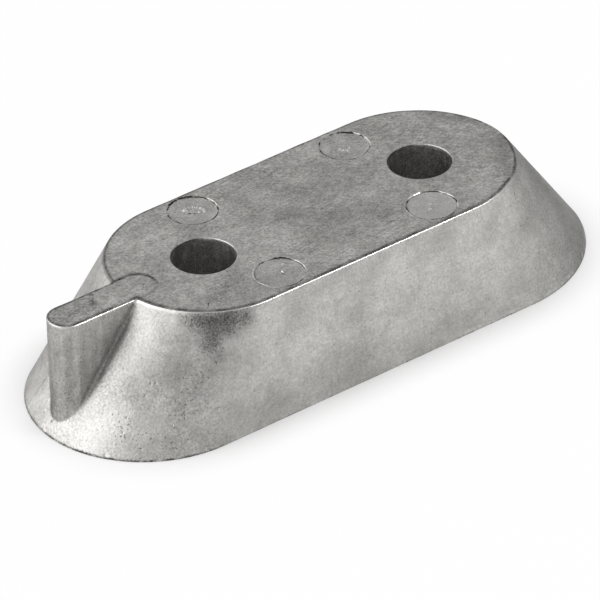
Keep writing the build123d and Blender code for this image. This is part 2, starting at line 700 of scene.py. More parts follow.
@dataclass
class PinMark(RoundFeature):
    """The round mark of one ejector pin, a little sunk, with torn metal along parts of its rim."""

    radius: float = 4.8
    depth: float = 0.16
    fall: float = 0.5
    groove: float = 0.05
    groove_inset: float = 0.08
    groove_width: float = 0.12
    dirt_width: float = 0.21
    dirt_tone: float = 0.9
    line_offset: float = 0.12
    line_width: float = 0.08
    line_tone: float = 0.7
    burr_offset: float = 0.06
    burr_fade: float = 0.6
    full_burr: float = 0.05
    margin: float = 0.24
    ring_steps: tuple[float, ...] = (
        *(0.16, 0.1, 0.04, -0.02, -0.08, -0.15, -0.24),
        *(-0.38, -0.6, -1.0, -1.7, -2.5, -3.3, -4.2),
    )
    seed: float = 0.0
    sheen: float = 0.1
    burrs: tuple[BurrArc, ...] = ()

    def opening(self) -> float:
        """Give the radius of the ring that the top's flat is cut back to."""
        return self.radius + self.margin

    def build(self) -> bpy.types.Object:
        """Sweep flat rings in to the mark's middle and close it.

        Returns:
            The mark's surface, still flat.
        """
        profile = [(self.opening(), self.level)]
        profile += [(self.radius + step, self.level) for step in self.ring_steps]
        piece = self.sweep(profile)
        bpy.ops.mesh.edge_face_add()
        bpy.ops.object.mode_set(mode="OBJECT")
        return piece

    def ragged(self, points: np.ndarray) -> np.ndarray:
        """Measure how far points lie outside the mark's uneven rim."""
        uneven = 0.06 * grain(points, 0.9, self.seed) + 0.06 * grain(points, 2.6, self.seed + 3.0)
        return self.away(points) - self.radius + uneven

    def burr(self, points: np.ndarray) -> np.ndarray:
        """Work out how high the torn metal stands at points of the top.

        Args:
            points: Points of the top near the mark.

        Returns:
            Heights.
        """
        turn = np.degrees(np.arctan2(points[:, 1] - self.y, points[:, 0] - self.x))
        torn = np.clip(0.75 + 0.8 * grain(points, 0.7, self.seed + 9.0), 0.0, 1.0)
        height = np.zeros(len(points))
        for arc in self.burrs:
            off = np.abs((turn - arc.towards + 180.0) % 360.0 - 180.0)
            along = smooth_step(off, arc.spread, self.burr_fade * arc.spread)
            across = hump(self.ragged(points), self.burr_offset, arc.half_width)
            height += arc.height * along * torn * across
        return height

    def relief(self, points: np.ndarray) -> np.ndarray:
        """Work out how far points of the top are raised or sunk by the mark.

        Args:
            points: Points of the top near the mark.

        Returns:
            Heights, down negative.
        """
        beyond = self.ragged(points)
        uneven = 1.0 + 0.5 * grain(points, 3.0, self.seed + 5.0)
        sunk = self.depth * smooth_step(beyond, 0.0, -self.fall) * uneven
        return self.burr(points) - sunk - self.groove * hump(beyond, -self.groove_inset, self.groove_width)

    def dirt(self, points: np.ndarray) -> np.ndarray:
        """Work out how dark the mark's rim is at points of the top."""
        patchy = np.clip(0.72 + 1.1 * grain(points, 1.3, self.seed + 13.0), 0.28, 1.0)
        torn = self.burr(points) / self.full_burr
        groove = hump(self.ragged(points), -self.groove_inset, self.dirt_width)
        return np.maximum(self.dirt_tone * patchy * groove * np.clip(1.0 - torn, 0.0, 1.0), -torn)

    def gleam(self, points: np.ndarray) -> np.ndarray:
        """Work out how bright the mark's inside and the thin line outside its rim are."""
        beyond = self.ragged(points)
        patchy = np.clip(0.5 + 1.2 * grain(points, 2.4, self.seed + 17.0), 0.0, 1.0)
        inside = self.sheen * smooth_step(beyond, -0.2, -self.fall)
        line = self.line_tone * patchy * hump(beyond, self.line_offset, self.line_width)
        return inside + line + np.maximum(self.burr(points) / self.full_burr, 0.0)


class MarkKind(Enum):
    """What a mark on the casting is."""

    PIT = "gas pit"
    DENT = "knock"
    SCRATCH = "scratch"
    CRUMB = "crumb of torn metal"


BRIGHT_MARKS = (MarkKind.DENT, MarkKind.CRUMB)
MARK_TONES = {MarkKind.PIT: 0.5, MarkKind.DENT: 0.45, MarkKind.SCRATCH: 0.72, MarkKind.CRUMB: 1.0}


@dataclass(frozen=True)
class Mark:
    """One mark: its kind, its place, its half width and depth, and where a scratch runs to."""

    kind: MarkKind
    start: Place
    half_width: float
    depth: float
    end: Place | None = None

    def distance(self, points: np.ndarray) -> np.ndarray:
        """Measure how far each point lies from the mark's line or centre."""
        return line_distance(points, self.start, self.end or self.start)

    def strength(self, points: np.ndarray) -> np.ndarray:
        """Give the mark's share of its full depth at each point."""
        away = self.distance(points)
        broken = np.ones(len(points))
        if self.kind is MarkKind.SCRATCH:
            near = away < 1.2
            spot = points[near]
            wander = 0.35 * grain(spot, 3.2, 57.0)
            away[near] = self.distance(spot + wander[:, None])
            broken[near] = np.clip(0.6 + 1.1 * grain(spot, 1.4, 51.0), 0.0, 1.0)
        share = np.clip(1.0 - (away / self.half_width) ** 2, 0.0, 1.0) * broken
        return share if self.kind in BRIGHT_MARKS else share**1.5

    def sink(self, points: np.ndarray) -> np.ndarray:
        """Work out how deep the mark is at each point, or how high a crumb stands, as a negative depth."""
        return self.strength(points) * (-self.depth if self.kind is MarkKind.CRUMB else self.depth)


@dataclass(frozen=True)
class Stain:
    """A patch along a short line with speckled soot, pores, a smooth grey film or rubbed metal, or with
    painted shade or a painted lighter tone.
    """

    start: Place
    end: Place
    half_width: float
    soil_and_shade: float = 0.0
    pores: float = 0.0
    film_and_shade: float = 0.0
    rubbed_and_highlight: float = 0.0

    def distance(self, points: np.ndarray) -> np.ndarray:
        """Measure how far each point lies from the stain's line."""
        return line_distance(points, self.start, self.end)

    def strength(self, points: np.ndarray) -> np.ndarray:
        """Give how much of the stain lies on each point, with a ragged border.

        Args:
            points: Points of the casting.

        Returns:
            Shares from 0 to 1.
        """
        away = self.distance(points) / self.half_width
        near = away < 2.0
        spot = points[near]
        away[near] *= 1.0 + 0.45 * grain(spot, 2.6, 31.0) + 0.25 * grain(spot, 0.8, 37.0)
        return smooth_step(away, 1.0, 0.0)


@dataclass
class WitnessLine:
    """The line that the rib's die insert left in the top: two straights joined by a half turn."""

    start: float
    turn_centre: float
    half: float = 3.7
    width: float = 1.1
    depth: float = 0.12
    front_share: float = 0.3

    def distance(self, points: np.ndarray) -> np.ndarray:
        """Measure how far each point lies from the line, in plan."""
        x, y = points[:, 0], points[:, 1]
        turn = np.abs(np.hypot(x - self.turn_centre, y) - self.half)
        beside = np.abs(np.abs(y) - self.half)
        straight = np.hypot(np.maximum(self.start - x, 0.0), beside)
        return np.where(x > self.turn_centre, turn, straight)

    def strength(self, points: np.ndarray) -> np.ndarray:
        """Give the line's share of its full depth at each point, less on its front side."""
        wander = 0.1 * grain(points, 1.2, 21.0)
        share = np.clip(1.0 - np.abs(self.distance(points) + wander) / self.width * 2, 0.0, 1.0)
        uneven = np.clip(0.9 + 0.5 * grain(points, 4.0, 17.0), 0.55, 1.0)
        back = smooth_step(points[:, 1], -self.half, -0.1 * self.half)
        return np.sqrt(share) * uneven * (self.front_share + (1.0 - self.front_share) * back)


@dataclass
class SurfacePaint:
    """What each point of the casting carries besides bare metal, painted shade and painted highlights among
    it, and how much its grain and drag show.
    """

    # soot and dirt, and painted shade
    soil_and_shade: np.ndarray
    # rubbed metal, and painted highlights
    rubbed_and_highlight: np.ndarray
    pores: np.ndarray
    # oxide film, and painted shade as a grey dimming
    film_and_shade: np.ndarray
    grainy: np.ndarray
    streaks: np.ndarray
    scuffs: np.ndarray

    @classmethod
    def bare(cls, count: int) -> "SurfacePaint":
        """Start with clean metal all over."""
        return cls(*(np.zeros(count) for _ in fields(cls)))

    def lay(self, layer: str, amount: np.ndarray | float, where: np.ndarray | slice = slice(None)) -> None:
        """Lay an amount on some points of one layer, where it is more than lies there."""
        values = getattr(self, layer)
        values[where] = np.maximum(values[where], amount)

    def store(self, piece: bpy.types.Object) -> None:
        """Store each layer as a named attribute of the mesh's points."""
        for layer in fields(self):
            values = np.clip(getattr(self, layer.name), 0.0, 1.0)
            attribute = piece.data.attributes.new(layer.name, "FLOAT", "POINT")
            attribute.data.foreach_set("value", values.astype(np.float32))


@dataclass(frozen=True)
class CastZinc:
    """Die-cast zinc alloy, as cast and handled.

    The die leaves a satin grey skin with cloudy flow marks, a fine grain, dark pores and a little soot,
    and vertical drag marks where it slid off. Air adds a grey film of oxide, and handling scuffs and
    bright rubbed edges. The soil_and_shade and film_and_shade layers also carry painted shade, which
    shows as dark specks and a grey dimming, and the rubbed_and_highlight layer carries painted
    highlights. The grain and pores are finer on a real casting, and are drawn about two pixels
    wide so that they show. Sizes are millimetres, and each span is the part of a noise that is used.
    """

    skin: str = "D7D6D3"
    cloud: str = "B9B8B5"
    # Light colour of rubbed metal, also used for painted highlights
    rubbed_and_highlight: str = "F0EFEC"
    # Dark colour of soot, also used for painted shade
    soil_and_shade: str = "3C3B39"
    edge_tint: str = "C4C4C4"
    drift_size: float = 17.0
    drift_share: float = 0.8
    cloud_size: float = 6.0
    cloud_span: Span = (1.0, 1.5)
    flow_size: float = 1.7
    flow_share: float = 0.7
    grain_size: float = 0.42
    speckle_size: float = 0.3
    soot_shade_share: float = 1.1
    soot_shade_span: Span = (0.82, 1.32)
    pore_size: float = 0.45
    pore_share: float = 0.2
    pore_span: Span = (0.73, 0.8)
    pore_darkness: float = 0.62
    drag_width: float = 0.8
    drag_squeeze: float = 0.07
    scuff_width: float = 0.4
    scuff_stretch: float = 9.0
    scuff_angles: tuple[float, ...] = (0.12, -0.75)
    swing_span: Span = (0.25, 0.75)
    swing: float = 0.5
    # How far the film_and_shade layer dims the colour, for oxide and painted shade alike
    film_and_shade_dimming: float = 0.65
    roughness: float = 0.42
    gloss_span: Span = (0.3, 0.7)
    gloss_swing: float = 0.06
    soot_shade_dulling: float = 0.2
    rub_polish: float = 0.14
    relief: float = 0.13
    relief_strength: float = 0.45
    flow_relief: float = 0.9
    pore_relief: float = 0.7

    def add_patterns(self, tree: bpy.types.NodeTree) -> tuple[Sockets, list[bpy.types.NodeSocket]]:
        """Add the noises that the finish is made of.

        Args:
            tree: The material's tree.

        Returns:
            The noises by name, and the scuffs' noises, one for each direction.
        """
        metres = add_node(tree, "TexCoord")["Object"]
        place = add_node(tree, "Mapping", {"Vector": metres, "Scale": (1 / MM, 1 / MM, 1 / MM)})[0]
        upright = add_node(tree, "Mapping", {"Vector": place, "Scale": (1.0, 1.0, self.drag_squeeze)})[0]
        sources = {
            "drift": (self.drift_size, 1.0, place),
            "cloud": (self.cloud_size, 3.0, place),
            "flow": (self.flow_size, 4.0, place),
            "grain": (self.grain_size, 3.0, place),
            "speckle": (self.speckle_size, 2.0, place),
            "pore": (self.pore_size, 1.0, place),
            "drag": (self.drag_width, 2.0, upright),
        }
        for angle in self.scuff_angles:
            turned = {"Rotation": (0.0, 0.0, angle), "Scale": (self.scuff_stretch, 1.0, 1.0)}
            along = add_node(tree, "Mapping", {"Vector": place, **turned}, vector_type="TEXTURE")[0]
            sources[f"scuffs at {angle}"] = (self.scuff_width, 2.0, along)
        noises = {}
        for name, (size, detail, where) in sources.items():
            inputs = {"Vector": where, "Scale": 1 / size, "Detail": detail}
            noises[name] = add_node(tree, "TexNoise", inputs)[0]
        return noises, [noises[f"scuffs at {angle}"] for angle in self.scuff_angles]

    def build(self) -> bpy.types.Material:
        """Make the material.

        Returns:
            The new material.
        """
        material = bpy.data.materials.new("die_cast_zinc_alloy")
        material.use_nodes = True
        tree = material.node_tree
        tree.nodes.clear()
        noises, scuffs = self.add_patterns(tree)
        paint = {}
        for name in (layer.name for layer in fields(SurfacePaint)):
            paint[name] = add_node(tree, "Attribute", attribute_name=name)["Fac"]
        scale_add = {"operation": "MULTIPLY_ADD"}
        colours = {"data_type": "RGBA"}

        # Dark specks: soot, and painted shade drawn as dark specks, where the soil_and_shade layer lies,
        # and pinholes where the metal is porous
        soot_shade_amount = add_node(tree, "Math", (noises["speckle"], self.soot_shade_share, paint["soil_and_shade"]), **scale_add)[0]
        soot_and_shade_specks = add_node(tree, "MapRange", (soot_shade_amount, *self.soot_shade_span))[0]
        porous = add_node(tree, "Math", (paint["pores"], self.pore_share, noises["pore"]), **scale_add)[0]
        pinholes = add_node(tree, "MapRange", (porous, *self.pore_span, 0.0, self.pore_darkness))[0]
        dark = add_node(tree, "Math", (soot_and_shade_specks, pinholes), operation="MAXIMUM")[0]

        # Cloudy skin, with grain, drag marks and scuffs as small changes of its brightness, then dimmed
        # where the film_and_shade layer lies, by oxide and by painted shade
        lumps = add_node(tree, "Math", (noises["drift"], self.drift_share, noises["cloud"]), **scale_add)[0]
        lumps = add_node(tree, "Math", (noises["flow"], self.flow_share, lumps), **scale_add)[0]
        share = add_node(tree, "MapRange", (lumps, *self.cloud_span))[0]
        ends = {6: linear_colour(self.cloud), 7: linear_colour(self.skin)}
        colour = add_node(tree, "Mix", {0: share, **ends}, **colours)[2]
        swings = [(noises["grain"], paint["grainy"]), (noises["drag"], paint["streaks"])]
        swings += [(lines, paint["scuffs"]) for lines in scuffs]
        bright = 1.0
        for lines, amount in swings:
            change = add_node(tree, "MapRange", (lines, *self.swing_span, -self.swing, self.swing))[0]
            bright = add_node(tree, "Math", (change, amount, bright), **scale_add)[0]
        thinned = add_node(tree, "Math", (paint["film_and_shade"], -self.film_and_shade_dimming, 1.0), **scale_add)[0]
        bright = add_node(tree, "Math", (bright, thinned), operation="MULTIPLY")[0]
        colour = add_node(tree, "VectorMath", {0: colour, "Scale": bright}, operation="SCALE")[0]
        # The light colour goes where metal is rubbed and where highlights are painted, the dark one where
        # soot lies and where shade is painted
        for code, amount in ((self.rubbed_and_highlight, paint["rubbed_and_highlight"]), (self.soil_and_shade, dark)):
            colour = add_node(tree, "Mix", {0: amount, 6: colour, 7: linear_colour(code)}, **colours)[2]

        # Satin gloss, duller under the dark specks of soot and painted shade, and glossier where metal is
        # rubbed and where highlights are painted
        gloss = (self.roughness - self.gloss_swing, self.roughness + self.gloss_swing)
        rough = add_node(tree, "MapRange", (noises["flow"], *self.gloss_span, *gloss))[0]
        rough = add_node(tree, "Math", (dark, self.soot_shade_dulling, rough), **scale_add)[0]
        rough = add_node(tree, "Math", (paint["rubbed_and_highlight"], -self.rub_polish, rough), **scale_add)[0]

        # Uneven skin and grain as relief, with the pinholes sunk
        height = add_node(tree, "Math", (noises["flow"], self.flow_relief, noises["grain"]), **scale_add)[0]
        height = add_node(tree, "Math", (pinholes, -self.pore_relief, height), **scale_add)[0]
        depth = {"Strength": self.relief_strength, "Distance": self.relief * MM, "Height": height}
        bump = add_node(tree, "Bump", depth)[0]
        finish = {"Base Color": colour, "Roughness": rough, "Normal": bump, "Metallic": 1.0}
        finish["Specular Tint"] = linear_colour(self.edge_tint)
        shader = add_node(tree, "BsdfPrincipled", finish)[0]
        add_node(tree, "OutputMaterial", {"Surface": shader})
        return material


@dataclass(frozen=True)
class EdgeLengths:
    """How long the mesh's edges may be: a span is the length at a detail and how far it holds round it."""

    anywhere: float = 1.3
    witness: Span = (0.2, 0.6)
    border: Span = (0.33, 0.8)
    pin_rim: Span = (0.24, 0.3)
    small_stain: float = 1.2
    spot_parts: float = 1.7
    spot_hold: float = 1.3
    growth: float = 0.5
    underside: float = 200.0
    passes: int = 9

    def allow(self, away: np.ndarray, length: float, hold: float) -> np.ndarray:
        """Let edges grow with the distance from a detail, beyond where its own length holds."""
        return length + self.growth * np.maximum(away - hold, 0.0)


@dataclass(frozen=True)
class WearTones:
    """How strongly each trace of casting and use, and each painted shade and painted highlight, shows, as a
    share of the full layer of paint.
    """

    pores: float = 0.04
    witness_soil: float = 0.68
    witness_film: float = 0.6
    top_grain: float = 0.72
    wall_grain: float = 0.4
    rib_end_grain: float = 0.46
    rib_end_extra: float = 0.16
    plain_end_grain: float = 0.56
    rib_top_grain: float = 0.8
    top_scuffs: float = 0.26
    wall_scuffs: float = 0.06
    border_soil_shade: float = 0.58
    border_film_shade: float = 0.8
    dulled_edge_shade: float = 0.35
    rib_drag: float = 0.22
    wall_drag: float = 0.07
    rib_grain: float = 0.5
    rib_grain_extra: float = 0.3
    rib_shade: float = 0.2
    root_film: float = 0.9
    root_haze: float = 0.45
    root_soil: float = 0.3
    bore_shade: float = 0.32
    bore_drag: float = 0.4
    rim_film_shade: float = 0.95
    rim_soil_shade: float = 0.45
    rim_highlight: float = 0.5
    plain_end_shade: float = 0.54
    foot_shade: float = 0.18
    foot_shade_less: float = 0.14
    foot_contact_shade: float = 0.52
    foot_contact_shade_extra: float = 0.25
    underside_share: float = 0.6


@dataclass(frozen=True)
class WearZones:
    """Where traces, painted shade and painted highlights fade in, from none at a span's first value to full
    at its second.

    The values are millimetres along the part's axes or from an outline. Those of edge_stain, edge_low,
    edge_high and edge_drop count down from the top's level, and soot_shade_share is a share of the
    soil_and_shade layer.
    """

    edge_stain: Span = (0.03, 0.13)
    edge_low: Span = (0.27, 0.17)
    edge_high: Span = (0.01, 0.06)
    edge_shade_band: Span = (0.45, 0.25)
    edge_half: float = 1.2
    edge_drop: float = 0.3
    front_side: Span = (3.0, -1.0)
    front_end: Span = (38.0, 33.0)
    soot_shade_share: Span = (0.15, 0.4)
    rib_end: Span = (-30.0, -40.0)
    rib_end_low: Span = (16.0, 10.0)
    rib_top: Span = (-38.0, -44.0)
    rib_low: Span = (12.0, 5.0)
    root_height: Span = (3.0, 8.5)
    root_band: Span = (0.6, -0.6)
    root_slope: Span = (0.5, 0.3)
    crease_wall: Span = (0.8, 0.4)
    plain_end: Span = (26.0, 40.0)
    shaded_end: Span = (28.0, 50.0)
    foot_left: Span = (-34.0, -46.0)
    foot_low: Span = (9.0, 4.0)
    flash: Span = (5.0, 20.0)
    flash_side: float = -8.0
    pin_reach: float = 0.3


@dataclass
class WearPainter:
    """Paints soot, pores, film, grain, drag marks, scuffs and rubbed metal on the casting's points, and
    painted shade and painted highlights.
    """

    casting: "AnodeCasting"
    points: np.ndarray
    in_bore: np.ndarray
    tones: WearTones = WearTones()
    zones: WearZones = WearZones()

    def __post_init__(self) -> None:
        """Start with bare metal, and work out what several regions share."""
        self.paint = SurfacePaint.bare(len(self.points))
        self.level = self.casting.level
        self.x, self.y, self.z = self.points.T
        self.on_flat = self.z > self.level - self.casting.flat_band
        self.on_top = ~self.in_bore & self.on_flat
        self.on_wall = self.z < self.level - self.zones.edge_drop
        self.patchy = grain(self.points, 2.2, 41.0)
        self.fine = grain(self.points, 0.7, 43.0)

    def run(self) -> SurfacePaint:
        """Paint every region.

        Returns:
            The paint's layers.
        """
        self.paint.lay("pores", self.tones.pores)
        for region in (self.spots, self.top, self.edge, self.rib, self.bores, self.foot):
            region()
        return self.paint

    def below(self, drops: Span) -> Span:
        """Turn two drops from the top's level into levels."""
        return (self.level - drops[0], self.level - drops[1])

    def spots(self) -> None:
        """Paint the single marks, and the stains, each on its own face only."""
        for mark in self.casting.marks:
            layer = "rubbed_and_highlight" if mark.kind in BRIGHT_MARKS else "soil_and_shade"
            self.paint.lay(layer, MARK_TONES[mark.kind] * mark.strength(self.points))
        below_edge = smooth_step(self.z, *self.below(self.zones.edge_stain))
        for stain in self.casting.stains:
            face = self.on_flat if stain.start[2] == self.level else below_edge
            laid = stain.strength(self.points) * face
            for layer in ("soil_and_shade", "pores", "film_and_shade", "rubbed_and_highlight"):
                self.paint.lay(layer, getattr(stain, layer) * laid)

    def top(self) -> None:
        """Paint the witness line, the grain and scuffs, and the pin marks."""
        lay, tones, zones = self.paint.lay, self.tones, self.zones
        points, on_top = self.points, self.on_top
        lined = self.casting.witness.strength(points[on_top])
        lay("soil_and_shade", tones.witness_soil * lined, on_top)
        lay("film_and_shade", tones.witness_film * lined, on_top)
        lay("grainy", np.where(on_top, tones.top_grain, tones.wall_grain))
        rib_end = tones.rib_end_grain + tones.rib_end_extra * smooth_step(self.z, *zones.rib_end_low)
        lay("grainy", rib_end * smooth_step(self.x, *zones.rib_end))
        lay("grainy", tones.plain_end_grain * smooth_step(self.x, *zones.plain_end))
        lay("grainy", tones.rib_top_grain * on_top * smooth_step(self.x, *zones.rib_top))
        scuffed = np.clip(tones.top_scuffs + 0.3 * grain(points, 9.0, 61.0), 0.1, 0.5)
        lay("scuffs", np.where(on_top, scuffed, tones.wall_scuffs))
        for pin in self.casting.pins:
            near = on_top & (pin.away(points) < pin.opening() + zones.pin_reach)
            lay("soil_and_shade", pin.dirt(points[near]), near)
            lay("rubbed_and_highlight", pin.gleam(points[near]), near)

    def edge(self) -> None:
        """Paint the top's edge: rubbed metal brightened into a painted highlight along the front, a painted
        dark line just inside the border, and painted shade on the back and right edges.
        """
        lay, tones, zones = self.paint.lay, self.tones, self.zones
        patchy, fine = self.patchy, self.fine
        border = self.casting.skin.border_distance(self.points)
        # The painted highlight keeps to the front edges, short of the right end, where the front softbox is
        # seen in them
        in_front = smooth_step(self.y, *zones.front_side) * smooth_step(self.x, *zones.front_end)
        beside = ~self.in_bore & (np.abs(border) < zones.edge_half)
        lower = smooth_step(self.z, *self.below(zones.edge_low))
        shining = lower * smooth_step(self.z, *self.below(zones.edge_high))
        worn = np.clip(0.85 + 0.5 * patchy + 0.3 * fine, 0.0, 1.0)
        soot_shade_amount = smooth_step(self.paint.soil_and_shade, *zones.soot_shade_share)
        lay("rubbed_and_highlight", beside * in_front * shining * worn * (1.0 - 0.8 * soot_shade_amount))
        # Painted shade: a dark line just inside the top's border, wider on the front, above the painted
        # highlight
        line = (border + 0.12 * fine + 0.2 + 0.34 * in_front) / (0.32 + 0.2 * in_front)
        inside = self.on_top * hump(line, 0.0, 1.0) * np.clip(0.85 + 0.6 * patchy, 0.4, 1.0)
        lay("soil_and_shade", tones.border_soil_shade * inside)
        lay("film_and_shade", tones.border_film_shade * inside)
        # Painted shade on the back and right edges
        shaded_edge = beside * (1.0 - in_front) * lower * smooth_step(-border, *zones.edge_shade_band)
        lay("soil_and_shade", tones.dulled_edge_shade * shaded_edge * np.clip(0.8 + 0.4 * patchy + 0.3 * fine, 0.0, 1.0))
        lay("film_and_shade", tones.border_film_shade * shaded_edge)

    def rib(self) -> None:
        """Paint the drag marks up the rib, painted shade on the rib that grows towards its foot, and
        painted shade in the crease of its root, which is widest high up on the slope.
        """
        lay, tones, zones = self.paint.lay, self.tones, self.zones
        skin, z = self.casting.skin, self.z
        from_rib = np.maximum(skin.rib_distance(self.points), 0.0)
        from_block = np.maximum(skin.block_distance(self.points), 0.0)
        on_rib = (from_rib < 0.15) & (from_block > 0.02) & self.on_wall
        low = smooth_step(z, *zones.rib_low)
        lay("streaks", np.where(on_rib, tones.rib_drag, tones.wall_drag * self.on_wall))
        lay("grainy", (tones.rib_grain + tones.rib_grain_extra * low) * on_rib)
        # Painted shade on the rib, darker towards the bottom
        lay("film_and_shade", tones.rib_shade * on_rib + tones.rib_shade * on_rib * low)
        # Painted shade in the crease where the rib meets the sloping end: a grey band, a haze and a dark
        # line
        at_root = (self.x < skin.side_stop + 1.0) & self.on_wall
        at_root = at_root * smooth_step(z, *zones.root_height)
        taper = np.clip((self.level - z) / 4.5, 0.15, 1.0)
        band = np.clip(0.16 * z - 0.43, 0.25, 1.5) * taper
        on_slope = smooth_step(from_rib - band, *zones.root_band)
        on_slope = on_slope * smooth_step(from_block, *zones.root_slope)
        lay("film_and_shade", tones.root_film * at_root * on_slope)
        lay("film_and_shade", tones.root_haze * at_root * hump(from_rib, 0.0, 0.4) * hump(from_block, 0.0, 1.5))
        crease = smooth_step(from_rib, 0.9 * taper, 0.1)
        lay("film_and_shade", at_root * crease * smooth_step(from_block, *zones.crease_wall))
        lay("soil_and_shade", tones.root_soil * at_root * hump(from_rib, 0.3, 0.4) * hump(from_block, 0.0, 0.6))

    def bores(self) -> None:
        """Paint the bores: dragged, with painted shade inside, and a rim with a painted highlight on the
        side towards the light and painted shade on the rest.
        """
        lay, tones, in_bore = self.paint.lay, self.tones, self.in_bore
        # Painted shade inside the bore, below its rim
        lay("soil_and_shade", tones.bore_shade * (self.z < self.level - 0.1)[in_bore], in_bore)
        lay("streaks", tones.bore_drag, in_bore)
        for bore in self.casting.bores:
            broken = np.abs(self.z - self.level + bore.rim_break / 2) < bore.rim_break / 2 + 0.01
            rim = in_bore & broken & (bore.away(self.points) < bore.radius + 0.9 * bore.rim_break)
            # Painted highlight on the side of the rim towards the light, painted shade on the rest of it
            lit = bore.highlight_side(self.points[rim])
            lay("film_and_shade", tones.rim_film_shade * (1.0 - lit), rim)
            lay("soil_and_shade", tones.rim_soil_shade * (1.0 - lit), rim)
            lay("rubbed_and_highlight", tones.rim_highlight * lit, rim)

    def foot(self) -> None:
        """Paint painted shade on the plain end and low on the walls, painted contact shade along the foot,
        and small bright nicks.

        The underside's own border is even, because its faces reach from there right to the bores.
        """
        lay, tones, zones = self.paint.lay, self.tones, self.zones
        x, z, patchy = self.x, self.z, self.patchy
        # Painted shade on the walls of the plain end
        shaded_end = tones.plain_end_shade * smooth_step(x, *zones.shaded_end)
        lay("film_and_shade", shaded_end * self.on_wall * ~self.in_bore)
        # Painted shade low on the walls, darker towards the bottom, less at the left end
        at_left = smooth_step(x, *zones.foot_left)
        low_shade = tones.foot_shade - tones.foot_shade_less * at_left
        lay("film_and_shade", low_shade * smooth_step(z, *zones.foot_low))
        # Painted contact shade: a dark line along the foot, and some on the underside's border
        contact_shade = tones.foot_contact_shade + tones.foot_contact_shade_extra * at_left
        contact_shade = contact_shade * smooth_step(z, 0.35 + 0.3 * at_left, 0.2)
        uneven = np.clip(0.75 + 0.6 * patchy, 0.0, 1.0)
        lay("soil_and_shade", contact_shade * np.where(z < self.casting.foot_band, tones.underside_share, uneven))
        flashy = smooth_step(x, *zones.flash) * (self.y < zones.flash_side)
        nicked = np.clip(0.5 * patchy + 1.0 * self.fine - 0.35 + 0.45 * flashy, 0.0, 1.0)
        lay("rubbed_and_highlight", hump(z, 0.55, 0.3) * nicked * (z > 0.2))


